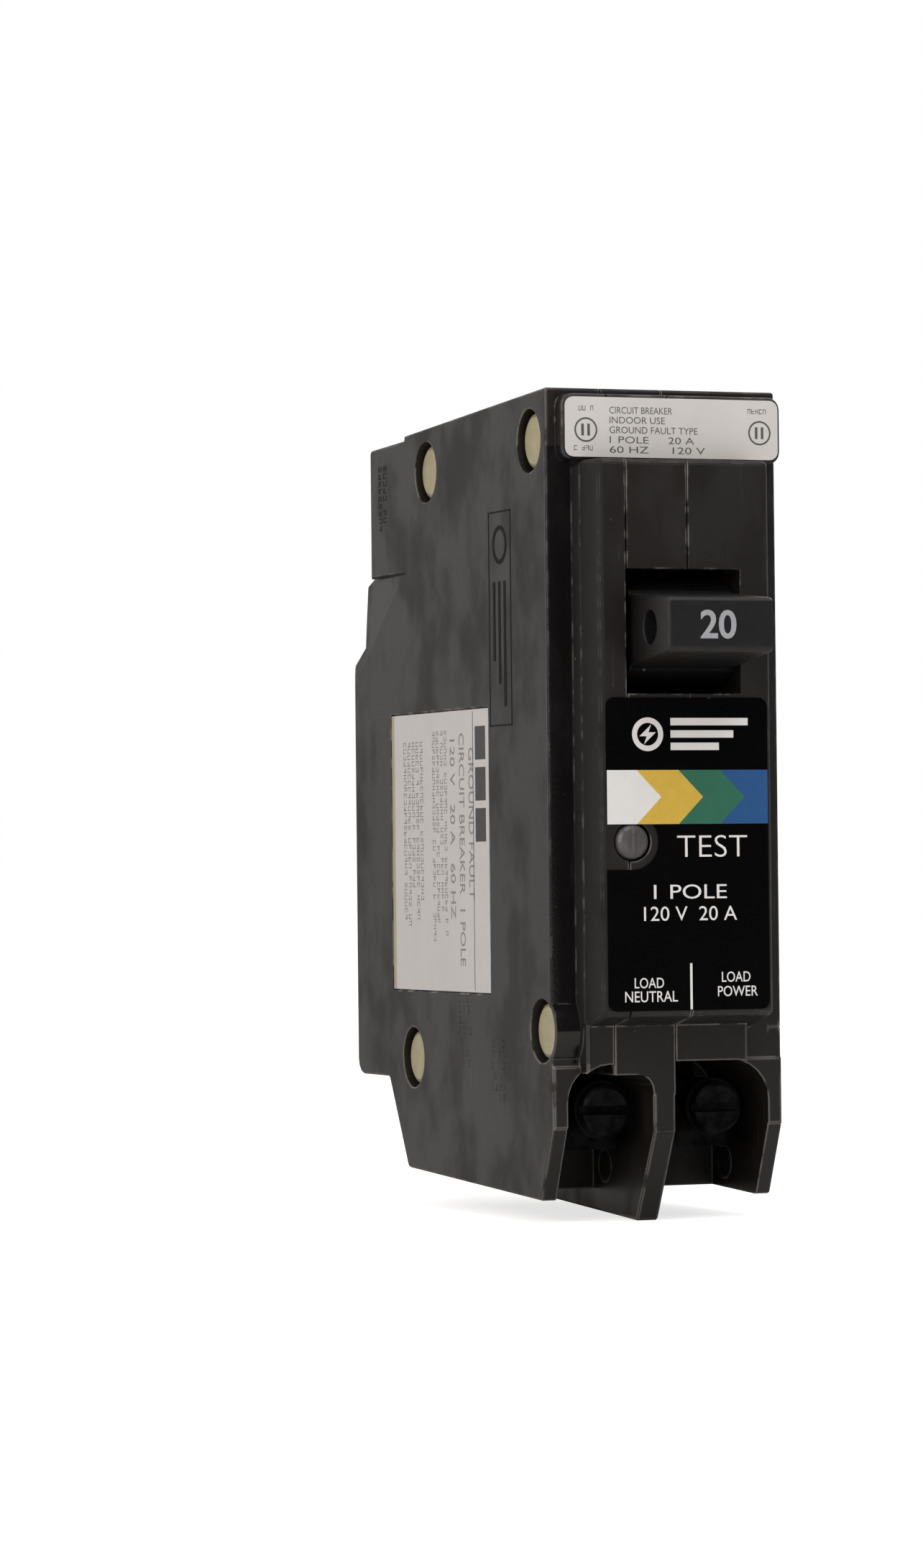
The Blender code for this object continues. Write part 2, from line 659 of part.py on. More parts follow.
def make_trip_unit():
    """Cradle, latch armature, magnet yoke and bimetal, which open the contacts on an overload."""
    pivot_y, pivot_z = 16.0, 44.0
    lever = [(pivot_y - 1.8, pivot_z + 1.0), (pivot_y - 0.8, pivot_z + 4.6), (pivot_y + 6.0, pivot_z + 5.2),
             (pivot_y + 14.4, pivot_z + 2.6), (pivot_y + 14.4, pivot_z + 0.8), (pivot_y + 6.0, pivot_z + 2.0),
             (pivot_y + 1.6, pivot_z - 1.2)]
    cradle_x = (19.7, 21.3)
    cradle = join(prism("x", lever, *cradle_x), rod("x", (pivot_y, pivot_z), 2.2, *cradle_x, sides=20))
    cut(cradle, rod("x", (pivot_y, pivot_z), 1.25, 0.0, 30.0, sides=16))
    make_part("cradle", cradle, "zinc_steel", (sum(cradle_x) / 2, pivot_y, pivot_z))
    pin = rod("x", (pivot_y, pivot_z), 1.0, SEAM_RIGHT + 0.1, 23.5, sides=16)
    make_part("cradle_pin", pin, "spring_steel")

    armature = box((15.0, 22.0), (31.8, 33.0), (29.0, 49.0))
    cut(armature, box((19.4, 21.6), (31.0, 34.0), (43.6, 45.2)))
    join(armature, rod("x", (32.4, 29.0), 0.9, 15.0, 22.0, sides=14))
    make_part("latch_armature", armature, "zinc_steel", (18.5, 32.4, 29.0))
    spring = coil((18.5, 30.9, 34.0), (18.5, 26.4, 33.0), 0.9, 0.22, 6)
    make_part("armature_spring", spring, "spring_steel")

    yoke = [
        (14.8, 34.9), (16.0, 34.9), (16.0, 38.0), (20.9, 38.0), (20.9, 34.9), (22.1, 34.9), (22.1, 39.2),
        (14.8, 39.2),
    ]
    make_part("magnet_yoke", prism("z", yoke, 34.0, 46.0), "zinc_steel")
    make_part("bimetal", box((17.0, 19.8), (35.9, 36.8), (20.6, 48.4)), "tin_plate")
    bracket = [(37.4, 26.2), (42.6, 26.2), (42.6, 21.0), (44.0, 21.0), (44.0, 27.6), (37.4, 27.6)]
    holder = cut(prism("x", bracket, 15.8, 20.8), rod("y", (POWER_X, 24.0), 1.6, 40.0, 46.0, sides=16))
    make_part("bimetal_bracket", holder, "zinc_steel")
    screw = turned("y", (POWER_X, 24.0), [(37.1, 1.0), (37.6, 1.3), (55.0, 1.3)], sides=16)
    cut(screw, box((POWER_X - 2, POWER_X + 2), (54.2, 56.0), (23.7, 24.3)))
    make_part("calibration_screw", screw, "black_steel")
    braid = smooth_route([(18.2, 36.3, 49.6), (18.2, 34.4, 52.2), (18.2, 28.0, 52.0), (18.2, 20.0, 50.4),
                          (18.2, 13.8, 51.6)])
    make_part("flexible_braid", swept(braid, 0.95), "copper")


# ---------------------------------------------------------------- load terminals
def make_terminal(prefix, centre):
    """A box lug with its screw and the clamp that the screw presses on the wire."""
    outer = box((centre - LUG_HALF, centre + LUG_HALF), LUG_Y, LUG_Z)
    soften(outer, 0.4, 2, lambda p: LUG_Z[0] + 0.1 < p.z < LUG_Z[1] - 0.1)
    inner = LUG_HALF - LUG_WALL
    cut(outer, box((centre - inner, centre + inner), (LUG_Y[0] + LUG_WALL, LUG_Y[1] - LUG_WALL), (0.0, 20.0)))
    cut(outer, rod("y", (centre, SCREW_Z), 2.1, LUG_Y[0] - 1, LUG_Y[0] + LUG_WALL + 0.5, sides=20))
    make_part(f"{prefix}_lug", outer, "black_steel")

    head_front, head_back = -0.2, 2.0
    screw = turned("y", (centre, SCREW_Z), [
        (head_front, 2.2), (head_front + 0.35, 2.6), (head_back - 0.6, 2.7), (head_back - 0.6, 3.0),
        (head_back, 3.0), (head_back, 1.9), (CLAMP_Y[0] - 0.2, 1.9)], sides=28)
    slot = (SCREW_Z - 0.45, SCREW_Z + 0.45)
    cut(screw, box((centre - 4, centre + 4), (head_front - 1, head_front + 1.1), slot))
    make_part(f"{prefix}_screw", screw, "black_steel", (centre, head_front, SCREW_Z))

    half = inner - 0.25
    clamp = box((centre - half, centre + half), CLAMP_Y, (LUG_Z[0] + 0.4, LUG_Z[1] - 0.4))
    make_part(f"{prefix}_clamp", clamp, "zinc_steel", (centre, CLAMP_Y[0], SCREW_Z))


def make_straps():
    """Copper straps from the lugs into the case, each with a raised landing for the wire."""
    front, back = STRAP_Y
    low, boss_top, bend = 7.0, 13.0, 20.2
    landing = [(front - STRAP_BOSS, boss_top), (front - STRAP_BOSS, low), (back, low)]
    neutral = landing + [(back, bend), (front, bend), (front, boss_top)]
    make_part("neutral_strap", prism("x", neutral, NEUTRAL_X - STRAP_HALF, NEUTRAL_X + STRAP_HALF), "copper")
    power = landing + [(back, bend), (17.6, bend), (17.6, bend + 1.0), (front, bend + 1.0), (front, boss_top)]
    make_part("power_strap", prism("x", power, POWER_X - STRAP_HALF, POWER_X + STRAP_HALF), "copper")


def make_neutral_clip():
    """The clip that plugs on a panel's neutral rail: two sprung fingers with flared mouths."""
    front, contact, mouth = 45.4, 51.4, 53.8
    base_z, top_z, sheet = 15.2, 20.2, 1.0
    bump = 0.5
    lower = base_z + sheet + bump
    upper = lower + NEUTRAL_RAIL
    outline = [
        (front, base_z), (mouth, base_z), (mouth, base_z + sheet), (contact + 1, lower), (contact, lower),
        (contact - 1.6, base_z + sheet), (front + sheet, base_z + sheet), (front + sheet, top_z - sheet),
        (contact - 1.6, top_z - sheet), (contact, upper), (contact + 1, upper), (mouth, top_z - sheet + 0.2),
        (mouth, top_z), (front, top_z),
    ]
    make_part("neutral_clip", prism("x", outline, 3.3, 9.1), "copper")


# ---------------------------------------------------------------- ground-fault electronics
def make_sensor():
    """The sensor ring with its winding, and the two leads that run through it."""
    y, z = CORE_CENTRE
    inner, outer = CORE_RADII
    cover = 0.6
    ring = cut(rod("x", CORE_CENTRE, outer - cover, *CORE_X, sides=32),
               rod("x", CORE_CENTRE, inner + cover, 0, 12, sides=24))
    make_part("sensor_core", ring, "ferrite")

    gap = 0.3
    sweep = math.radians(250)
    start = math.radians(-35)
    past = 0.2
    shell_out = (circle(y, z, outer + gap, 24, start, sweep)
                 + circle(y, z, inner - gap, 24, start + sweep, -sweep))
    shell_in = (circle(y, z, outer - cover + gap, 24, start - past, sweep + 2 * past)
                + circle(y, z, inner + cover - gap, 24, start + sweep + past, -sweep - 2 * past))
    winding = cut(prism("x", shell_out, CORE_X[0] - cover, CORE_X[1] + cover),
                  prism("x", shell_in, CORE_X[0] - gap, CORE_X[1] + gap))
    make_part("sensor_winding", winding, "copper")

    phase = smooth_route([
        (18.3, 18.7, 20.9), (17.6, 22.0, 24.6), (15.2, 24.6, 27.8), (12.4, 25.0, 28.4), (6.0, 25.0, 28.4),
        (3.5, 25.4, 28.4), (2.6, 28.4, 27.4), (2.6, 31.4, 21.0), (2.8, 32.0, 14.4), (5.4, 32.0, 12.0),
        (12.0, 32.0, 12.0), (15.8, 32.2, 12.6), (18.0, 34.4, 15.4), (18.4, 36.0, 19.4)], steps=3)
    make_part("phase_lead", swept(phase, 0.75), "copper")
    neutral = smooth_route([
        (4.6, 13.8, 19.4), (3.0, 18.0, 21.4), (2.6, 22.4, 24.2), (3.6, 24.8, 25.4), (7.0, 25.0, 25.4),
        (9.0, 26.4, 25.0), (9.2, 30.0, 23.4), (9.2, 36.0, 22.6), (8.6, 41.0, 21.2),
        (6.4, 44.2, 18.2)], steps=3)
    make_part("neutral_lead", swept(neutral, 0.75), "copper")


def make_board():
    """The electronics board with the parts that stand on it."""
    board_x = (2.2, 3.6)
    face = board_x[1] + CONTACT_GAP
    board = box(board_x, (11.0, 50.0), (35.2, 66.0))
    make_part("circuit_board", board, "board_laminate")
    chip = soften(box((face, face + 1.5), (26.0, 34.0), (36.0, 41.0)), 0.25, 1, lambda p: p.x > face + 1)
    make_part("controller_chip", chip, "chip_epoxy")
    flat = circle(21.0, 38.5, 2.3, 16, math.radians(35), math.radians(290))
    make_part("thyristor", prism("x", flat, face, face + 4.4), "chip_epoxy")
    capacitor = soften(box((face, face + 5.6), (13.0, 21.0), (45.0, 56.0)), 0.5, 2, lambda p: p.x > face + 1)
    make_part("filter_capacitor", capacitor, "yellow_film")
    disc = [(face, 3.6), (face + 0.5, 4.2), (face + 2.6, 4.2), (face + 3.1, 3.6)]
    varistor = turned("x", (45.0, 38.5), disc)
    make_part("surge_varistor", varistor, "blue_coating")
    resistor = turned("z", (face + 1.9, 27.0), [(46.0, 1.0), (46.8, 1.7), (54.2, 1.7), (55.0, 1.0)], sides=16)
    make_part("dropping_resistor", resistor, "fibre")


def make_solenoid():
    """The solenoid that trips the latch: frame, coil, plunger and return spring."""
    centre = (SOLENOID_X, SOLENOID_Y)
    frame = [
        (45.8, 47.6), (37.8, 47.6), (37.8, 48.6), (44.8, 48.6), (44.8, 59.0), (37.8, 59.0), (37.8, 60.0),
        (45.8, 60.0),
    ]
    yoke = cut(prism("x", frame, 4.2, 9.8), rod("z", centre, 1.6, 40.0, 70.0, sides=16))
    make_part("solenoid_frame", yoke, "zinc_steel")
    winding = cut(rod("z", centre, 2.75, 48.9, 58.7, sides=24), rod("z", centre, 1.6, 40.0, 70.0, sides=16))
    make_part("solenoid_coil", winding, "copper")
    plunger = turned("z", centre, [(45.0, 1.2), (63.6, 1.2), (63.6, 2.3), (64.6, 2.3)], sides=20)
    make_part("solenoid_plunger", plunger, "zinc_steel", (*centre, 45.0))
    spring = coil((*centre, 60.45), (*centre, 63.15), 1.75, 0.22, 3, steps=10)
    make_part("plunger_spring", spring, "spring_steel", (*centre, 60.2))


def make_test_button():
    """The test button with its spring and the contact leaf behind it."""
    front = PANEL_FRONT - 0.45
    centre = (BUTTON_X, BUTTON_Z)
    button = turned("y", centre, [(front, 0.9), (front + 0.12, 1.35), (front + 0.35, BUTTON_RADIUS - 0.15),
                                  (front + 0.7, BUTTON_RADIUS), (-1.6, BUTTON_RADIUS)], sides=28)
    lugs = box((5.9, 7.6), (-4.5, -3.5), (BUTTON_Z - 2.8, BUTTON_Z + 2.8))
    rib_z = (BUTTON_Z - 1.2, BUTTON_Z + 1.2)
    rib = box((BUTTON_X - 0.15, BUTTON_X + 0.15), (front - 0.12, front + 0.5), rib_z)
    make_part("test_button", join(button, lugs, rib), "button_plastic", (BUTTON_X, front, BUTTON_Z))
    spring = coil((BUTTON_X, -1.25, BUTTON_Z), (BUTTON_X, 3.9, BUTTON_Z), 1.1, 0.2, 5)
    make_part("test_spring", spring, "spring_steel", (BUTTON_X, -1.4, BUTTON_Z))
    leaf = [(5.6, 34.0), (6.0, 34.0), (6.0, 41.0), (10.4, 41.0), (10.4, 41.4), (5.6, 41.4)]
    make_part("test_contact", prism("x", leaf, 5.0, 8.0), "copper")


def main():
    for leftover in list(bpy.data.objects):
        bpy.data.objects.remove(leftover)
    make_case()
    make_rivets()
    make_labels()
    make_handle()
    make_contact_arm()
    make_line_side()
    make_arc_chute()
    make_trip_unit()
    make_terminal("neutral", NEUTRAL_X)
    make_terminal("power", POWER_X)
    make_straps()
    make_neutral_clip()
    make_sensor()
    make_board()
    make_solenoid()
    make_test_button()


main()
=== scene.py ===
"""Looks for the single-pole ground-fault breaker: finishes, printing, moulded marks, light and camera.

Lengths are millimetres in the drawing frame of the CAD: x from the left side face, y back from the front
shoulder and z up from the load end. place() turns them into metres of the row frame.
"""
import json
import math
import random

import bmesh
import bpy
from mathutils import Matrix, Quaternion, Vector


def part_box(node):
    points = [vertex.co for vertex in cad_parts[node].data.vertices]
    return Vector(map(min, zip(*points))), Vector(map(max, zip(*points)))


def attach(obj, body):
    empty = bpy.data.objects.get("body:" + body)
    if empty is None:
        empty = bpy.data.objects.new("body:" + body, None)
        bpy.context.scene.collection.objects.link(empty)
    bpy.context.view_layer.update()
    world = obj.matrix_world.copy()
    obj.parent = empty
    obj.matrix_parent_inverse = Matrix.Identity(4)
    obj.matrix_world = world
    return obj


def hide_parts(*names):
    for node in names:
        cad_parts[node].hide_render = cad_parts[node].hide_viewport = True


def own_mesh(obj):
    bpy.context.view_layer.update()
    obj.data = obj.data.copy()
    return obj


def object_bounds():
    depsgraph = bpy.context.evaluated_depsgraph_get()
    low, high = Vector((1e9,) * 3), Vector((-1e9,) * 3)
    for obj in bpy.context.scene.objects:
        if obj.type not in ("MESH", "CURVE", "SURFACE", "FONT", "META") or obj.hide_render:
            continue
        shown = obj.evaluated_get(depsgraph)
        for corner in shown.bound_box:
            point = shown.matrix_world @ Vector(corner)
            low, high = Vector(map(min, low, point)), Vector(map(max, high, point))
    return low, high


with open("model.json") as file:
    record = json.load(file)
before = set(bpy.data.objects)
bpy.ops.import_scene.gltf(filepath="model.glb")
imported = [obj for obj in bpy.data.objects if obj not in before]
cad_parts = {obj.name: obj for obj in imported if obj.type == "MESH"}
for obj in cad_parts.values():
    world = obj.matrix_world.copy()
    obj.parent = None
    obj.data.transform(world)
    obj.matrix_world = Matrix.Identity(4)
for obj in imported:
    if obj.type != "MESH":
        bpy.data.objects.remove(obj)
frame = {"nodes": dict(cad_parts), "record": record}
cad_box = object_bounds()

MM = 0.001
POLE_WIDTH = 25.4
CASE_DEPTH = 58.2
CASE_HEIGHT = 84.0
SEAT_MIDDLE = 36.0           # height of the row frame's origin above the load end
WALL = 1.6
DIVIDER_LEFT = 10.3          # left face of the divider between the wire pockets
SEAMS = (6.05, 12.75)
SHEET = 0.012                # thickness of an ink layer
LIFT = 0.004                 # gap between an ink layer and what it is printed on
MARK_HEIGHT = 0.03           # how far a moulded line stands out
TONGUE = 0.07                # half the thickness of a seam tongue


def place(x, y, z):
    """Drawing millimetres to metres of the row frame."""
    return Vector((x - POLE_WIDTH / 2, y - CASE_DEPTH, z - SEAT_MIDDLE)) * MM


def drawn_box(node):
    """Lowest and highest corner of a CAD node in drawing millimetres."""
    shift = Vector((POLE_WIDTH / 2, CASE_DEPTH, SEAT_MIDDLE))
    low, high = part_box(node)
    return low / MM + shift, high / MM + shift


# ---------------------------------------------------------------- building materials
class Surface:
    """A Principled material whose textures are laid out in millimetres of the row frame."""

    def __init__(self, name, metallic=0.0):
        self.material = bpy.data.materials.new(name)
        self.material.use_nodes = True
        self.tree = self.material.node_tree
        self.shader = self.tree.nodes["Principled BSDF"]
        self.shader.inputs["Metallic"].default_value = metallic
        grow = self.node("ShaderNodeVectorMath", operation="SCALE")
        grow.inputs["Scale"].default_value = 1 / MM
        self.link(self.node("ShaderNodeTexCoord").outputs["Object"], grow.inputs[0])
        self.mm = grow.outputs[0]

    def node(self, kind, **settings):
        node = self.tree.nodes.new(kind)
        for key, value in settings.items():
            setattr(node, key, value)
        return node

    def link(self, source, target):
        """Join a socket to an input, or set the input to a number or colour."""
        if isinstance(source, bpy.types.NodeSocket):
            self.tree.links.new(source, target)
        else:
            target.default_value = source

    def stretched(self, size, stretch):
        """The millimetre position divided by a texture's size along each axis."""
        node = self.node("ShaderNodeVectorMath", operation="DIVIDE")
        self.link(self.mm, node.inputs[0])
        node.inputs[1].default_value = [size * s for s in stretch]
        return node.outputs[0]

    def noise(self, size, detail=3.0, stretch=(1, 1, 1)):
        node = self.node("ShaderNodeTexNoise")
        node.inputs["Scale"].default_value = 1.0
        node.inputs["Detail"].default_value = detail
        self.link(self.stretched(size, stretch), node.inputs["Vector"])
        return node.outputs[0]

    def cells(self, size, output="Distance"):
        node = self.node("ShaderNodeTexVoronoi")
        node.inputs["Scale"].default_value = 1.0
        self.link(self.stretched(size, (1, 1, 1)), node.inputs["Vector"])
        return node.outputs[output]

    def bands(self, size, axis, distortion=0.0):
        """Parallel ridges across an axis."""
        node = self.node("ShaderNodeTexWave", bands_direction=axis)
        node.inputs["Scale"].default_value = 1.0
        node.inputs["Distortion"].default_value = distortion
        self.link(self.stretched(size, (1, 1, 1)), node.inputs["Vector"])
        return node.outputs["Fac"]

    def axis(self, name):
        node = self.node("ShaderNodeSeparateXYZ")
        self.link(self.mm, node.inputs[0])
        return node.outputs[name]

    def math(self, operation, a, b=0.0):
        node = self.node("ShaderNodeMath", operation=operation)
        self.link(a, node.inputs[0])
        self.link(b, node.inputs[1])
        return node.outputs[0]

    def step(self, value, low, high):
        """0 below low and 1 above high, smooth between. A low above high turns it round."""
        node = self.node("ShaderNodeMapRange", interpolation_type="SMOOTHSTEP")
        self.link(value, node.inputs["Value"])
        node.inputs["From Min"].default_value = low
        node.inputs["From Max"].default_value = high
        return node.outputs["Result"]

    def mix(self, share, a, b):
        """A colour that goes from a to b. The node's colour sockets are 6, 7 and 2."""
        node = self.node("ShaderNodeMix", data_type="RGBA")
        self.link(share, node.inputs[0])
        self.link(a, node.inputs[6])
        self.link(b, node.inputs[7])
        return node.outputs[2]

    def blend(self, value, low, high):
        """A number that runs from low to high as value runs from 0 to 1."""
        node = self.node("ShaderNodeMapRange")
        self.link(value, node.inputs["Value"])
        node.inputs["To Min"].default_value = low
        node.inputs["To Max"].default_value = high
        return node.outputs["Result"]

    def rounded(self, radius):
        """The normal of the surface as if its edges were rounded."""
        node = self.node("ShaderNodeBevel", samples=4)
        node.inputs["Radius"].default_value = radius * MM
        return node.outputs[0]

    def edges(self, radius):
        """1 along the edges of the piece and 0 on its faces."""
        node = self.node("ShaderNodeVectorMath", operation="DOT_PRODUCT")
        self.link(self.rounded(radius), node.inputs[0])
        self.link(self.node("ShaderNodeNewGeometry").outputs["Normal"], node.inputs[1])
        return self.step(node.outputs["Value"], 0.985, 0.86)

    def specks(self, size, share):
        """Small round spots in a share of the cells."""
        spot = self.step(self.cells(size), 0.16, 0.08)
        pick = self.node("ShaderNodeSeparateXYZ")
        self.link(self.cells(size, output="Color"), pick.inputs[0])
        return self.math("MULTIPLY", spot, self.step(pick.outputs["X"], 1 - share, 1 - share + 0.02))

    def close(self, colour, roughness, height, depth, edge=0.12):
        """Join colour, roughness and relief to the shader. Depth and edge are in millimetres."""
        self.link(colour, self.shader.inputs["Base Color"])
        self.link(roughness, self.shader.inputs["Roughness"])
        bump = self.node("ShaderNodeBump")
        bump.inputs["Distance"].default_value = depth * MM
        self.link(height, bump.inputs["Height"])
        if edge:
            self.link(self.rounded(edge), bump.inputs["Normal"])
        self.link(bump.outputs["Normal"], self.shader.inputs["Normal"])
        return self.material


def rgb(red, green, blue):
    return (red, green, blue, 1.0)


# ---------------------------------------------------------------- finishes of the moulded pieces
def seam_flash_and_highlight(surface):
    """Thin broken pale lines where the mouldings meet: part moulding flash and part painted highlight on
    the seam edges.
    """
    x = surface.axis("X")
    lines = 0.0
    for seam in SEAMS:
        off = surface.math("ABSOLUTE", surface.math("SUBTRACT", x, seam - POLE_WIDTH / 2))
        lines = surface.math("MAXIMUM", lines, surface.step(off, 0.17, 0.1))
    broken = surface.step(surface.noise(2.2, 4.0, (1, 1, 1.6)), 0.46, 0.62)
    return surface.math("MULTIPLY", lines, broken)


def between(surface, axis, low, high, soft=0.15):
    """1 where an axis of the row frame lies between two millimetre values."""
    value = surface.axis(axis)
    above = surface.step(value, low - soft, low)
    below = surface.step(value, high + soft, high)
    return surface.math("MULTIPLY", above, below)


def front_band(surface, left, right):
    """1 on the front of the case between two x values, above the wire pockets."""
    band = surface.math("MULTIPLY", between(surface, "X", left, right), between(surface, "Y", -70.0, -57.8))
    return surface.math("MULTIPLY", band, between(surface, "Z", -20.5, 42.0))


def case_plastic():
    """Near-black phenolic moulding: cloudy, dusty, with pale flash on its edges, pale seam lines that are
    part flash and part painted highlight, and painted shade darkening the front shoulder and flank.
    """
    surface = Surface("case_plastic_look")
    clouds = surface.noise(9.0, 5.0, (1, 1, 2.2))
    colour = surface.mix(clouds, rgb(0.0036, 0.0028, 0.0024), rgb(0.0135, 0.0105, 0.0088))
    scratches = surface.step(surface.noise(1.0, 2.0, (0.35, 0.35, 9.0)), 0.66, 0.76)
    colour = surface.mix(surface.math("MULTIPLY", scratches, 0.12), colour, rgb(0.16, 0.145, 0.13))
    colour = surface.mix(surface.specks(1.1, 0.018), colour, rgb(0.3, 0.28, 0.25))
    colour = surface.mix(surface.specks(0.55, 0.03), colour, rgb(0.1, 0.09, 0.085))
    at_pockets = surface.step(surface.axis("Z"), 20.0 - SEAT_MIDDLE, 18.0 - SEAT_MIDDLE)
    often = surface.math("ADD", surface.noise(2.4, 5.0), surface.math("MULTIPLY", at_pockets, 0.14))
    worn = surface.math("MULTIPLY", surface.edges(0.3), surface.step(often, 0.48, 0.6))
    colour = surface.mix(surface.math("MULTIPLY", worn, 0.85), colour, rgb(0.36, 0.34, 0.31))
    # Pale seam lines: moulding flash, and painted highlight on the seam edges.
    colour = surface.mix(surface.math("MULTIPLY", seam_flash_and_highlight(surface), 0.6), colour, rgb(0.32, 0.3, 0.28))
    shoulder = front_band(surface, -13.0, -10.1)
    flank = front_band(surface, -9.95, -9.2)
    # Painted shade: the colour of the front shoulder left of the raised panel and of the panel's left flank
    # is darkened towards near black.
    shoulder_and_flank_shade = surface.math("MAXIMUM", shoulder, flank)
    colour = surface.mix(surface.math("MULTIPLY", shoulder_and_flank_shade, 0.6), colour, rgb(0.003, 0.003, 0.0042))
    stains = surface.step(surface.noise(5.0, 4.0, (1.0, 1.4, 2.0)), 0.42, 0.68)
    roughness = surface.blend(stains, 0.40, 0.60)
    roughness = surface.math("SUBTRACT", roughness, surface.math("MULTIPLY", shoulder, 0.24))
    roughness = surface.math("ADD", roughness, surface.math("MULTIPLY", flank, 0.3))
    relief = surface.math("ADD", surface.noise(0.22, 2.0), surface.math("MULTIPLY", scratches, -0.6))
    return surface.close(colour, roughness, relief, 0.010, 0.18)


def engraving_shade_plastic():
    """The same moulding painted near black: painted shade standing in for the shadow inside engraved marks.
    """
    surface = Surface("mark_plastic_look")
    colour = surface.mix(surface.noise(0.8, 4.0), rgb(0.003, 0.0028, 0.0028), rgb(0.009, 0.008, 0.0075))
    surface.shader.inputs["Specular IOR Level"].default_value = 0.15
    roughness = surface.blend(surface.noise(1.0), 0.55, 0.75)
    return surface.close(colour, roughness, surface.noise(0.2), 0.01, None)


def handle_plastic():
    """Black moulded handle, rubbed lighter along its edges."""
    surface = Surface("handle_plastic_look")
    colour = surface.mix(surface.noise(3.0, 5.0), rgb(0.0042, 0.004, 0.0044), rgb(0.008, 0.0076, 0.008))
    worn = surface.math("MULTIPLY", surface.edges(0.25), surface.step(surface.noise(1.6, 4.0), 0.42, 0.7))
    colour = surface.mix(surface.math("MULTIPLY", worn, 0.35), colour, rgb(0.16, 0.15, 0.15))
    colour = surface.mix(surface.specks(1.4, 0.05), colour, rgb(0.2, 0.19, 0.18))
    roughness = surface.blend(surface.noise(1.2, 4.0), 0.34, 0.52)
    return surface.close(colour, roughness, surface.noise(0.16, 2.0), 0.009, 0.22)


def button_plastic():
    """Smoky grey button with a lighter rim and fine upright moulding lines."""
    surface = Surface("button_plastic_look")
    lines = surface.noise(0.5, 3.0, (0.4, 1.0, 6.0))
    colour = surface.mix(lines, rgb(0.05, 0.048, 0.05), rgb(0.13, 0.125, 0.125))
    colour = surface.mix(surface.math("MULTIPLY", surface.edges(0.2), 0.4), colour, rgb(0.22, 0.21, 0.21))
    roughness = surface.blend(surface.noise(0.7, 3.0), 0.22, 0.38)
    return surface.close(colour, roughness, lines, 0.01, 0.15)


# ---------------------------------------------------------------- finishes of labels and ink
def white_paper(name, tone=1.0, aged_edge=None):
    """Coated off-white label stock. One that is aged has a brown margin past a y in row millimetres."""
    surface = Surface(name)
    grey, white = ([c * tone for c in shade] for shade in ((0.69, 0.675, 0.66), (0.78, 0.77, 0.76)))
    colour = surface.mix(surface.noise(5.0, 4.0), rgb(*grey), rgb(*white))
    fibres = surface.noise(0.3, 3.0, (1.0, 3.0, 0.6))
    colour = surface.mix(surface.step(fibres, 0.62, 0.8), colour, rgb(*[c * 0.9 for c in grey]))
    if aged_edge is not None:
        margin = surface.step(surface.axis("Y"), aged_edge, aged_edge + 0.5)
        colour = surface.mix(surface.math("MULTIPLY", margin, 0.8), colour, rgb(0.36, 0.29, 0.14))
    roughness = surface.blend(surface.noise(2.0, 3.0), 0.42, 0.6)
    return surface.close(colour, roughness, fibres, 0.006, None)


def black_film():
    """Glossy black printed film with a little dust and handling haze."""
    surface = Surface("black_film_look")
    haze = surface.noise(6.0, 5.0)
    colour = surface.mix(haze, rgb(0.0012, 0.0012, 0.0013), rgb(0.0024, 0.0023, 0.0024))
    colour = surface.mix(surface.specks(2.2, 0.05), colour, rgb(0.08, 0.08, 0.08))
    surface.shader.inputs["Specular IOR Level"].default_value = 0.05
    roughness = surface.blend(haze, 0.24, 0.4)
    return surface.close(colour, roughness, surface.noise(1.6, 3.0), 0.008, None)


def ink(name, colour, uneven=0.12):
    """Screen-printed ink, slightly uneven, with tiny voids."""
    surface = Surface(name)
    darker = rgb(*[c * (1 - 2 * uneven) for c in colour])
    tone = surface.mix(surface.noise(1.3, 4.0), darker, rgb(*colour))
    voids = surface.specks(0.5, 0.04)
    tone = surface.mix(surface.math("MULTIPLY", voids, 0.5), tone, rgb(*[c * 0.4 for c in colour]))
    roughness = surface.blend(surface.noise(0.8, 3.0), 0.35, 0.5)
    return surface.close(tone, roughness, surface.noise(0.2, 2.0), 0.003, None)


# ---------------------------------------------------------------- finishes of metal pieces
def metal(name, clean, dull, roughness, patch=2.5, brush=(1, 1, 1), depth=0.006):
    """A metal with patches of a duller tone, brushed along the axis that brush stretches."""
    surface = Surface(name, metallic=1.0)
    patches = surface.noise(patch, 5.0)
    strokes = surface.noise(0.25, 3.0, brush)
    colour = surface.mix(surface.step(patches, 0.35, 0.7), rgb(*clean), rgb(*dull))
    colour = surface.mix(surface.math("MULTIPLY", surface.step(strokes, 0.5, 0.8), 0.3), colour, rgb(*dull))
    shine = surface.blend(patches, roughness * 0.75, roughness * 1.35)
    return surface.close(colour, shine, strokes, depth, 0.1)


def rivet_plate():
    """Pale yellow chromate over zinc, mottled and dull."""
    surface = Surface("rivet_plate_look", metallic=0.55)
    mottle = surface.noise(1.4, 5.0)
    colour = surface.mix(mottle, rgb(0.36, 0.33, 0.20), rgb(0.62, 0.57, 0.36))
    stain = surface.step(surface.noise(0.7, 4.0), 0.6, 0.75)
    colour = surface.mix(surface.math("MULTIPLY", stain, 0.4), colour, rgb(0.2, 0.19, 0.14))
    return surface.close(colour, surface.blend(mottle, 0.34, 0.55), surface.noise(0.2, 3.0), 0.01, 0.12)


def zinc_steel():
    """Zinc plating with its small crystal facets."""
    surface = Surface("zinc_steel_look", metallic=1.0)
    facets = surface.node("ShaderNodeSeparateXYZ")
    surface.link(surface.cells(0.7, output="Color"), facets.inputs[0])
    colour = surface.mix(facets.outputs["X"], rgb(0.42, 0.43, 0.46), rgb(0.62, 0.63, 0.65))
    colour = surface.mix(surface.step(surface.noise(2.0, 5.0), 0.55, 0.8), colour, rgb(0.3, 0.3, 0.31))
    roughness = surface.blend(facets.outputs["Y"], 0.26, 0.42)
    return surface.close(colour, roughness, surface.noise(0.3), 0.005, 0.1)


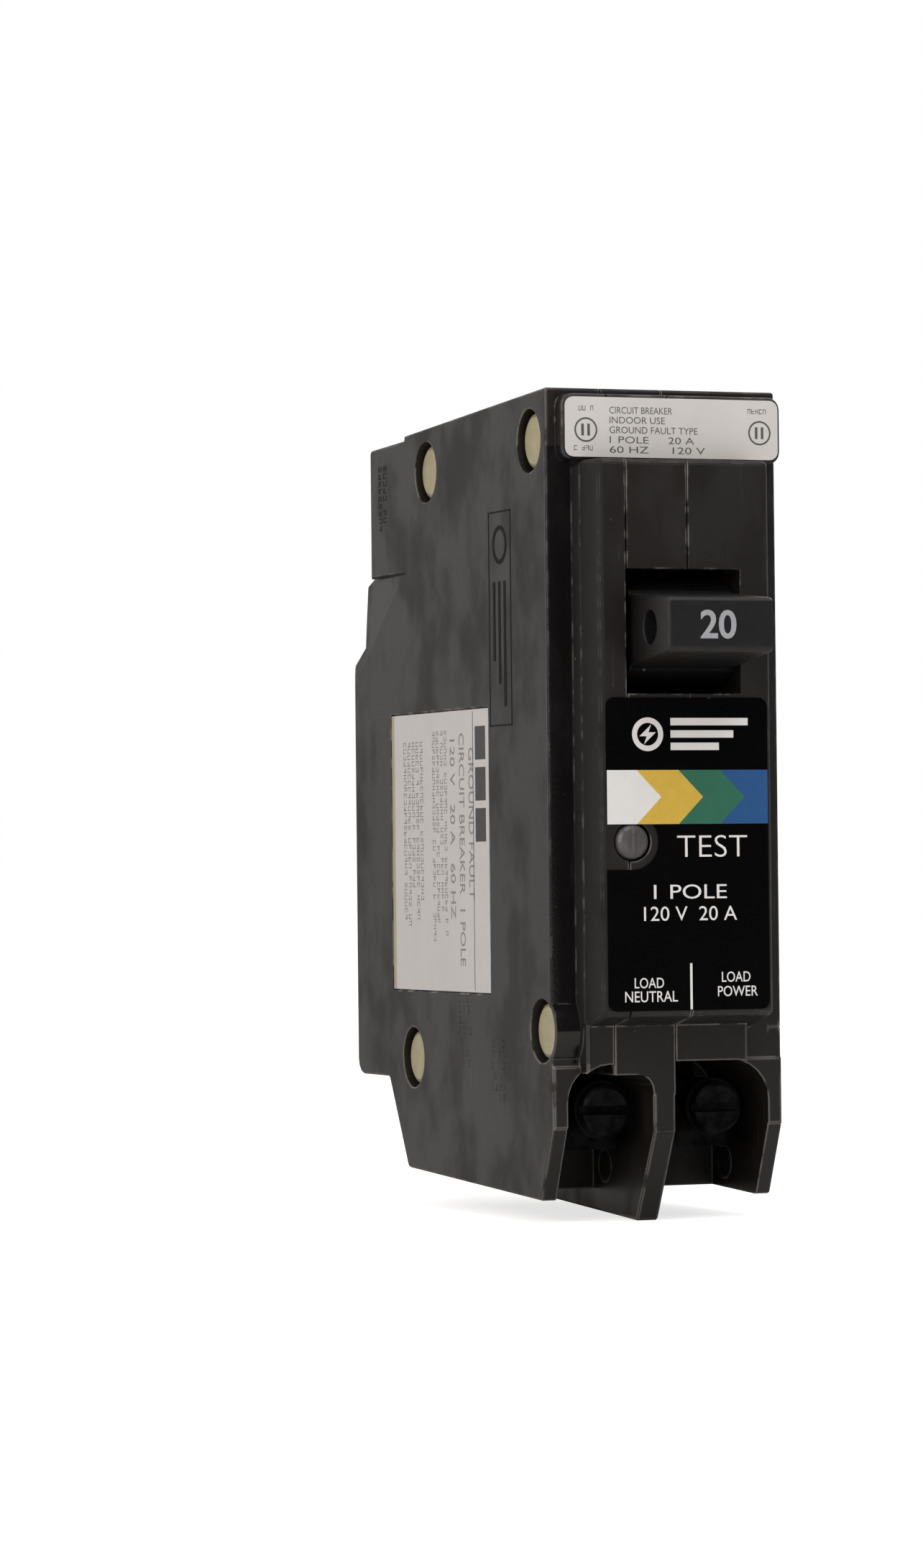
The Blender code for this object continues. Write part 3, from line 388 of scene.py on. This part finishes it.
def winding(name, axis):
    """Enamelled copper wire laid in close turns."""
    surface = Surface(name, metallic=0.8)
    turns = surface.bands(0.35, axis, 0.4)
    colour = surface.mix(turns, rgb(0.2, 0.06, 0.025), rgb(0.62, 0.24, 0.1))
    return surface.close(colour, surface.blend(surface.noise(1.0), 0.25, 0.4), turns, 0.06, None)


def fibre():
    """Red-brown vulcanised fibre sheet with its grain."""
    surface = Surface("fibre_look")
    grain = surface.noise(0.5, 4.0, (1, 1, 5))
    colour = surface.mix(grain, rgb(0.16, 0.055, 0.03), rgb(0.34, 0.14, 0.08))
    return surface.close(colour, surface.blend(grain, 0.6, 0.85), grain, 0.02, 0.1)


def board_laminate():
    """Green solder mask over copper tracks and glass weave."""
    surface = Surface("board_laminate_look")
    tracks = surface.step(surface.bands(1.1, "Z", 5.0), 0.62, 0.7)
    weave = surface.math("MULTIPLY", surface.bands(0.25, "Y"), surface.bands(0.25, "Z"))
    colour = surface.mix(tracks, rgb(0.008, 0.07, 0.026), rgb(0.03, 0.17, 0.06))
    relief = surface.math("ADD", tracks, surface.math("MULTIPLY", weave, 0.3))
    return surface.close(colour, surface.blend(weave, 0.3, 0.45), relief, 0.02, 0.1)


def coated(name, low, high, roughness):
    """A dipped or moulded component body: mottled, slightly uneven."""
    surface = Surface(name)
    mottle = surface.noise(1.2, 5.0)
    colour = surface.mix(mottle, rgb(*low), rgb(*high))
    shine = surface.blend(mottle, roughness * 0.8, roughness * 1.2)
    return surface.close(colour, shine, surface.noise(0.3, 3.0), 0.012, 0.15)


def make_finishes():
    """One finish for each material slot of the record."""
    return {
        "case_plastic": case_plastic(),
        "handle_plastic": handle_plastic(),
        "button_plastic": button_plastic(),
        "rivet_plate": rivet_plate(),
        "black_print": black_film(),
        "white_print": white_paper("white_print_look"),
        "copper": metal("copper_look", (0.72, 0.34, 0.2), (0.34, 0.15, 0.09), 0.32),
        "silver_contact": metal("silver_contact_look", (0.8, 0.79, 0.76), (0.5, 0.49, 0.46), 0.3, 0.8),
        "zinc_steel": zinc_steel(),
        "black_steel": metal("black_steel_look", (0.06, 0.06, 0.065), (0.02, 0.02, 0.022), 0.42, 1.2),
        "spring_steel": metal("spring_steel_look", (0.45, 0.46, 0.48), (0.22, 0.22, 0.24), 0.3, 1.5),
        "tin_plate": metal("tin_plate_look", (0.6, 0.6, 0.59), (0.38, 0.38, 0.37), 0.42, 1.6, (4, 1, 1)),
        "fibre": fibre(),
        "board_laminate": board_laminate(),
        "chip_epoxy": coated("chip_epoxy_look", (0.012, 0.012, 0.013), (0.03, 0.03, 0.032), 0.55),
        "blue_coating": coated("blue_coating_look", (0.015, 0.05, 0.2), (0.04, 0.11, 0.34), 0.4),
        "yellow_film": coated("yellow_film_look", (0.48, 0.3, 0.05), (0.66, 0.46, 0.1), 0.4),
        "ferrite": coated("ferrite_look", (0.03, 0.03, 0.032), (0.08, 0.08, 0.085), 0.6),
    }


def dress_nodes(finishes):
    """Give every CAD node the finish of its slot, and a few nodes a finish of their own."""
    aged_margin = 1.1
    aged_edge = drawn_box("side_label")[1].y - aged_margin - CASE_DEPTH
    own = {
        "side_label": white_paper("side_label_look", 0.8, aged_edge),
        "solenoid_coil": winding("solenoid_coil_look", "Z"),
        "sensor_winding": winding("sensor_winding_look", "X"),
    }
    # Painted shade: the straps, lugs, clamps and screws seen in the wire pockets get near-black copper and
    # steel, standing in for the shade deep in the pockets.
    pocket_copper_shade = metal("painted_shade_copper_look", (0.02, 0.012, 0.009), (0.008, 0.006, 0.005), 0.6)
    pocket_steel_shade = metal("painted_shade_steel_look", (0.016, 0.016, 0.018), (0.006, 0.006, 0.007), 0.55, 1.2)
    for pole in ("power", "neutral"):
        own[f"{pole}_strap"] = pocket_copper_shade
        for piece in ("lug", "clamp", "screw"):
            own[f"{pole}_{piece}"] = pocket_steel_shade
    for part in frame["record"]["subparts"]:
        node = frame["nodes"][part["node"]]
        look = own.get(part["node"], finishes[part["material_slot"]])
        node.data.materials.clear()
        node.data.materials.append(look)


# ---------------------------------------------------------------- shapes laid on a face
class Layer:
    """Thin solids laid on a flat face, drawn in millimetres to the right of and above an origin."""

    def __init__(self, origin, right, up):
        right, up = Vector(right), Vector(up)
        out = right.cross(up)
        turn = Matrix((right, up, out)).transposed().to_4x4()
        self.to_world = Matrix.Translation(place(*origin)) @ turn @ Matrix.Scale(MM, 4)
        self.mesh = bmesh.new()

    def plate(self, outline, low=LIFT, high=LIFT + SHEET):
        """A flat piece with this outline, between two heights above the face."""
        base = [self.mesh.verts.new((u, v, low)) for u, v in outline]
        top = [self.mesh.verts.new((u, v, high)) for u, v in outline]
        self.mesh.faces.new(base)
        self.mesh.faces.new(top)
        for i in range(len(outline)):
            j = (i + 1) % len(outline)
            self.mesh.faces.new((base[i], base[j], top[j], top[i]))

    def bar(self, u, v, low=LIFT, high=LIFT + SHEET):
        self.plate([(u[0], v[0]), (u[1], v[0]), (u[1], v[1]), (u[0], v[1])], low, high)

    def ring(self, centre, outer, inner, low=LIFT, high=LIFT + SHEET):
        """A flat ring, as one closed band of four-sided sections."""
        sides = 40
        rows = []
        for i in range(sides):
            a = math.tau * i / sides
            rows.append([
                self.mesh.verts.new((centre[0] + r * math.cos(a), centre[1] + r * math.sin(a), h))
                for r, h in ((outer, low), (outer, high), (inner, high), (inner, low))
            ])
        for here, there in zip(rows, rows[1:] + rows[:1]):
            for k in range(4):
                n = (k + 1) % 4
                self.mesh.faces.new((here[k], here[n], there[n], there[k]))

    def text(self, words, u, v, weight=0.0):
        """Lettering from Blender's own font, fitted to a box."""
        curve = bpy.data.curves.new("words", "FONT")
        curve.body = words
        curve.offset = weight
        curve.extrude = 0.5
        curve.resolution_u = 4
        shown = bpy.data.objects.new("words", curve)
        bpy.context.scene.collection.objects.link(shown)
        graph = bpy.context.evaluated_depsgraph_get()
        mesh = bpy.data.meshes.new_from_object(shown.evaluated_get(graph))
        bpy.data.objects.remove(shown)
        xs = [p.co.x for p in mesh.vertices]
        ys = [p.co.y for p in mesh.vertices]
        wide = (u[1] - u[0]) / (max(xs) - min(xs))
        tall = (v[1] - v[0]) / (max(ys) - min(ys))
        for p in mesh.vertices:
            p.co = (u[0] + (p.co.x - min(xs)) * wide, v[0] + (p.co.y - min(ys)) * tall,
                    LIFT + (p.co.z + 0.5) * SHEET)
        self.mesh.from_mesh(mesh)

    def small_print(self, rows, u, v, chance):
        """Rows of tiny strokes that read as small text from afar and spell nothing."""
        strokes = [(0, 0.16, 0, 1), (0.84, 1, 0, 1), (0, 1, 0.87, 1), (0, 1, 0.44, 0.57), (0, 1, 0, 0.13)]
        pitch = (v[1] - v[0]) / rows
        tall = pitch * 0.62
        wide = tall * 0.62
        for row in range(rows):
            base = v[1] - pitch * row - tall
            end = u[0] + (u[1] - u[0]) * chance.uniform(0.78, 1.0)
            at = u[0]
            while at + wide < end:
                if chance.random() > 0.16:
                    for a, b, c, d in chance.sample(strokes, 3):
                        self.bar((at + a * wide, at + b * wide), (base + c * tall, base + d * tall))
                at += wide * 1.4

    def done(self, name, material, slot, body):
        """Turn what was drawn into one piece that rides on a body."""
        bmesh.ops.remove_doubles(self.mesh, verts=self.mesh.verts, dist=1e-6)
        bmesh.ops.recalc_face_normals(self.mesh, faces=self.mesh.faces)
        mesh = bpy.data.meshes.new(name)
        self.mesh.to_mesh(mesh)
        self.mesh.free()
        mesh.transform(self.to_world)
        mesh.materials.append(material)
        piece = bpy.data.objects.new(name, mesh)
        bpy.context.scene.collection.objects.link(piece)
        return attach(piece, body)


def on_front(y):
    """A layer on a face that looks to the front, drawn in the case's own x and z."""
    return Layer((0, y, 0), (1, 0, 0), (0, 0, 1))


def on_side(x, y, z):
    """A layer on the left side, its words running down and their tops towards the front."""
    return Layer((x, y, z), (0, 0, -1), (0, -1, 0))


# ---------------------------------------------------------------- printing
def print_front_label(inks):
    """Generic symbol, colour band, function words and terminal marks on the black label."""
    low, high = drawn_box("front_label")
    white = on_front(low.y)
    white.ring((8.1, 48.6), 1.7, 1.15)
    white.plate([(8.5, 49.6), (7.2, 48.4), (8.0, 48.4), (7.7, 47.6), (9.0, 48.8), (8.2, 48.8)])
    for row in range(3):
        white.bar((10.6, 19.1 - 1.6 * row), (49.5 - 1.25 * row, 50.25 - 1.25 * row))
    legends = (
        ("TEST", (11.2, 18.9), (36.2, 38.4), -0.012),
        ("1 POLE", (8.6, 16.6), (32.0, 33.45), 0.0),
        ("120 V  20 A", (7.5, 17.7), (29.8, 31.25), 0.0),
        ("LOAD", (6.4, 9.6), (23.05, 24.1), 0.004),
        ("NEUTRAL", (5.35, 11.1), (21.65, 22.75), 0.004),
        ("LOAD", (15.95, 19.1), (23.55, 24.6), 0.004),
        ("POWER", (15.5, 19.9), (22.1, 23.15), 0.004),
    )
    for words, across, upward, weight in legends:
        white.text(words, across, upward, weight)
    white.bar((12.47, 12.72), (low.z + 0.1, 25.5))
    white.done("front_label_ink", inks["white"], "black_print", "case")

    band = (39.55, 45.0)
    middle = sum(band) / 2
    starts = [low.x + 0.02, 6.84, 11.42, 15.99, high.x - 0.02]
    point = 2.68
    for number, colour in enumerate(("white", "yellow", "green", "blue")):
        a, b = starts[number], starts[number + 1]
        notch = [(a + point, middle)] if number > 0 else []
        tip = [(b + point, middle)] if number < 3 else []
        layer = on_front(low.y)
        layer.plate([(a, band[0])] + notch + [(a, band[1]), (b, band[1])] + tip + [(b, band[0])])
        layer.done(f"colour_band_{colour}", inks[colour], "black_print", "case")


def print_top_label(inks):
    """Plain rings and generic ratings on the label above the handle."""
    low = drawn_box("top_label")[0]
    chance = random.Random(7)
    layer = on_front(low.y)
    for left, right in ((2.5, 4.9), (21.6, 24.2)):
        centre = (left + right) / 2
        layer.ring((centre, 79.6), 1.25, 1.08)
        layer.bar((centre - 0.5, centre - 0.22), (79.0, 80.2))
        layer.bar((centre + 0.16, centre + 0.44), (79.0, 80.2))
        layer.small_print(1, (left, right + 0.2), (81.25, 82.05), chance)
    layer.small_print(1, (2.4, 5.0), (77.2, 78.0), chance)
    rows = (("CIRCUIT BREAKER", 13.2), ("INDOOR USE", 12.4), ("GROUND FAULT TYPE", 16.0),
            ("1 POLE     20 A", 15.6), ("60 HZ     120 V", 16.8))
    for number, (words, right) in enumerate(rows):
        base = 81.3 - number
        layer.text(words, (6.3, right), (base, base + 0.68), -0.006)
    layer.done("top_label_ink", inks["grey"], "white_print", "case")


def print_side_label(inks):
    """A plain heading, generic ratings and rows of small print on the side label."""
    low, high = drawn_box("side_label")
    length, width = high.z - low.z, high.y - low.y
    heading = on_side(low.x, high.y, high.z)
    for start in (1.8, 6.1, 10.4):
        heading.bar((start, start + 3.5), (width - 3.9, width - 0.9))
    heading.bar((0.2, length - 0.2), (width - 4.6, width - 4.48))
    heading.done("side_label_heading", inks["black"], "white_print", "case")

    chance = random.Random(11)
    layer = on_side(low.x, high.y, high.z)
    layer.text("GROUND FAULT", (4.0, 20.0), (width - 5.9, width - 4.4))
    layer.text("CIRCUIT BREAKER  1 POLE", (2.4, 27.0), (width - 8.7, width - 7.2))
    layer.text("120 V   20 A   60 HZ", (3.0, 22.0), (width - 11.4, width - 10.0))
    layer.small_print(4, (2.0, length - 2.5), (width - 17.2, width - 12.4), chance)
    layer.small_print(5, (3.0, length - 6.0), (3.2, 9.6), chance)
    layer.done("side_label_ink", inks["faded"], "white_print", "case")


def print_handle(inks):
    """The rated current on the tip of the handle."""
    layer = on_front(drawn_box("handle")[0].y)
    layer.text("20", (10.3, 14.2), (57.85, 60.75), 0.02)
    layer.done("handle_ink", inks["pale"], "handle_plastic", "handle")


# ---------------------------------------------------------------- moulded marks
def side_marks(dark):
    """Moulded lines on the left side: a framed plain symbol, a short line and two rows of worn marks, drawn
    as thin raised plates whose near-black colour is painted shade of engraved lines.
    """
    layer = on_side(0.0, 0.0, CASE_HEIGHT)

    def outline(u, v, line):
        layer.bar(u, (v[0], v[0] + line), 0.0, MARK_HEIGHT)
        layer.bar(u, (v[1] - line, v[1]), 0.0, MARK_HEIGHT)
        layer.bar((u[0], u[0] + line), v, 0.0, MARK_HEIGHT)
        layer.bar((u[1] - line, u[1]), v, 0.0, MARK_HEIGHT)

    outline((11.7, 34.0), (-16.3, -10.0), 0.16)
    layer.ring((15.2, -13.15), 2.0, 1.55, 0.0, MARK_HEIGHT)
    for row in range(3):
        layer.bar((19.0, 32.0 - 2.4 * row), (-12.1 - 1.5 * row, -11.5 - 1.5 * row), 0.0, MARK_HEIGHT)
    layer.bar((16.5, 16.7), (-52.0, -41.7), 0.0, MARK_HEIGHT)
    layer.small_print(2, (4.5, 12.0), (-50.2, -47.2), random.Random(3))
    layer.done("side_marks", dark, "case_plastic", "case")


def raised_lettering(plastic):
    """Two faint blocks of raised marks, like lettering too worn to read, low on the left side."""
    layer = on_side(0.0, 0.0, CASE_HEIGHT)
    chance = random.Random(5)
    for low_u, low_v in ((62.0, -27.0), (66.5, -17.5)):
        layer.small_print(2, (low_u, low_u + 8.5), (low_v, low_v + 4.2), chance)
    layer.done("raised_lettering", plastic, "case_plastic", "case")


def ejector_marks(plastic):
    """The rings that the ejector pins left on the right walls of the two wire pockets."""
    for name, wall in (("ejector_mark_left", DIVIDER_LEFT), ("ejector_mark_right", POLE_WIDTH - WALL)):
        layer = Layer((wall, 11.2, 4.4), (0, -1, 0), (0, 0, 1))
        layer.ring((0, 0), 1.85, 1.6, 0.0, 0.06)
        layer.done(name, plastic, "case_plastic", "case")


def seam_tongues(plastic):
    """Thin tongues that close the two seams inside their walls, so that no light comes through."""
    half_width = 0.3
    upper = [(2.0, 82.95), (41.2, 81.3), (51.6, 80.75), (51.6, 66.65), (53.8, 66.0), (53.8, 59.55),
             (57.4, 57.6)]
    above_clip = [(57.4, 22.0)]
    to_bottom = [(57.4, 13.5), (47.75, 13.5), (42.05, 3.8), (32.0, 3.4)]
    for side, seam, lower in (("left", SEAMS[0], above_clip), ("right", SEAMS[1], to_bottom)):
        layer = Layer((seam, 0, 0), (0, 1, 0), (0, 0, 1))
        middle = [Vector(point) for point in upper + lower]
        for here, there in zip(middle, middle[1:]):
            along = (there - here).normalized() * half_width
            across = Vector((-along.y, along.x))
            a, b = here - along, there + along
            layer.plate([a - across, b - across, b + across, a + across], -TONGUE, TONGUE)
        layer.done(f"seam_tongue_{side}", plastic, "case_plastic", "case")


def plunger_coil():
    """The plunger's return spring, drawn again as a piece of its own that rides on the case."""
    node = frame["nodes"]["plunger_spring"]
    coil = bpy.data.objects.new("plunger_coil", node.data.copy())
    bpy.context.scene.collection.objects.link(coil)
    coil.matrix_world = node.matrix_world
    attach(coil, "case")
    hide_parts("plunger_spring")
    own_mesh(coil)


# ---------------------------------------------------------------- studio
def floor_material():
    """Pale sheet whose far end is as white to the eye as the backdrop."""
    surface = Surface("floor_look")
    colour = surface.mix(surface.noise(80.0, 3.0), rgb(0.7, 0.69, 0.68), rgb(0.74, 0.73, 0.72))
    surface.shader.inputs["Specular IOR Level"].default_value = 0.0
    surface.shader.inputs["Emission Color"].default_value = rgb(1, 1, 1)
    seen = surface.node("ShaderNodeLightPath").outputs["Is Camera Ray"]
    surface.link(surface.math("MULTIPLY", seen, 0.72), surface.shader.inputs["Emission Strength"])
    return surface.close(colour, 0.8, surface.noise(20.0), 0.05, None)


def make_floor():
    """A pale floor just under the lowest point of the object."""
    reach = 3.0
    drop = 0.05 * MM
    bm = bmesh.new()
    bmesh.ops.create_grid(bm, x_segments=2, y_segments=2, size=reach)
    mesh = bpy.data.meshes.new("floor")
    bm.to_mesh(mesh)
    bm.free()
    mesh.materials.append(floor_material())
    floor = bpy.data.objects.new("floor", mesh)
    floor.location = (0, 0, cad_box[0].z - drop)
    bpy.context.scene.collection.objects.link(floor)


def area_light(name, direction, distance, size, power, colour=(1, 1, 1)):
    """A square soft box that looks at the middle of the object from a direction."""
    light = bpy.data.lights.new(name, "AREA")
    light.size = size
    light.energy = power
    light.color = colour
    middle = (cad_box[0] + cad_box[1]) / 2
    away = Vector(direction).normalized()
    lamp = bpy.data.objects.new(name, light)
    lamp.location = middle + away * distance
    lamp.rotation_mode = "QUATERNION"
    lamp.rotation_quaternion = (-away).to_track_quat("-Z", "Y")
    bpy.context.scene.collection.objects.link(lamp)


def by_camera_ray(tree, kind, sockets, unseen, seen):
    """One value for light on the object and another for what the camera sees directly.

    The sockets are the numbers of the mix node's two inputs and of its output for this kind of value.
    """
    node = tree.nodes.new("ShaderNodeMix")
    node.data_type = kind
    first, second, result = sockets
    tree.links.new(tree.nodes.new("ShaderNodeLightPath").outputs["Is Camera Ray"], node.inputs[0])
    if isinstance(unseen, bpy.types.NodeSocket):
        tree.links.new(unseen, node.inputs[first])
    else:
        node.inputs[first].default_value = unseen
    node.inputs[second].default_value = seen
    return node.outputs[result]


def make_world():
    """White to the eye, and as light dim in front of the object and bright behind and to its left."""
    world = bpy.data.worlds.new("studio")
    bpy.context.scene.world = world
    world.use_nodes = True
    tree = world.node_tree
    back = tree.nodes["Background"]
    split = tree.nodes.new("ShaderNodeSeparateXYZ")
    tree.links.new(tree.nodes.new("ShaderNodeTexCoord").outputs["Generated"], split.inputs[0])
    level = 0.36
    for axis, gain in (("X", -0.08), ("Y", 0.3), ("Z", 0.1)):
        term = tree.nodes.new("ShaderNodeMath")
        term.operation = "MULTIPLY_ADD"
        tree.links.new(split.outputs[axis], term.inputs[0])
        term.inputs[1].default_value = gain
        if isinstance(level, float):
            term.inputs[2].default_value = level
        else:
            tree.links.new(level, term.inputs[2])
        level = term.outputs[0]
    strength = by_camera_ray(tree, "FLOAT", (2, 3, 0), level, 1.0)
    tint = by_camera_ray(tree, "RGBA", (6, 7, 2), rgb(1, 0.97, 0.945), rgb(1, 1, 1))
    tree.links.new(tint, back.inputs["Color"])
    tree.links.new(strength, back.inputs["Strength"])


def make_camera():
    """The view from the front left, level with the middle of the case."""
    yaw, rise, roll = (math.radians(a) for a in (20.786, 0.953, -0.592))
    data = bpy.data.cameras.new("camera")
    data.sensor_width = 36.0
    data.lens = 123.84
    data.clip_start = 0.01
    camera = bpy.data.objects.new("camera", data)
    camera.location = (-0.21471, -0.56549, -0.00124)
    ahead = Vector((math.sin(yaw) * math.cos(rise), math.cos(yaw) * math.cos(rise), math.sin(rise)))
    camera.rotation_mode = "QUATERNION"
    camera.rotation_quaternion = ahead.to_track_quat("-Z", "Y") @ Quaternion((0, 0, 1), roll)
    bpy.context.scene.collection.objects.link(camera)
    bpy.context.scene.camera = camera


def make_studio():
    make_camera()
    make_world()
    make_floor()
    area_light("key", (-0.80, -0.62, 0.35), 0.7, 0.45, 2.2, (1.0, 0.93, 0.87))
    area_light("fill", (0.1, -0.6, 1.0), 0.7, 0.4, 1.8)
    area_light("rear", (0.7, 0.6, 0.5), 0.8, 0.5, 1.5)
    bpy.context.scene.view_settings.view_transform = "Standard"


def make_inks():
    return {
        "white": ink("white_ink_look", (0.93, 0.93, 0.93), 0.04),
        "yellow": ink("yellow_ink_look", (0.86, 0.58, 0.08)),
        "green": ink("green_ink_look", (0.033, 0.19, 0.115)),
        "blue": ink("blue_ink_look", (0.02, 0.11, 0.33)),
        "black": ink("black_ink_look", (0.035, 0.034, 0.033)),
        "grey": ink("grey_ink_look", (0.13, 0.125, 0.12)),
        "faded": ink("faded_ink_look", (0.26, 0.25, 0.24)),
        "pale": ink("pale_ink_look", (0.46, 0.48, 0.52)),
    }


def main():
    finishes = make_finishes()
    dress_nodes(finishes)
    inks = make_inks()
    print_front_label(inks)
    print_top_label(inks)
    print_side_label(inks)
    print_handle(inks)
    side_marks(engraving_shade_plastic())
    raised_lettering(finishes["case_plastic"])
    seam_tongues(finishes["case_plastic"])
    plunger_coil()
    ejector_marks(finishes["case_plastic"])
    make_studio()


main()
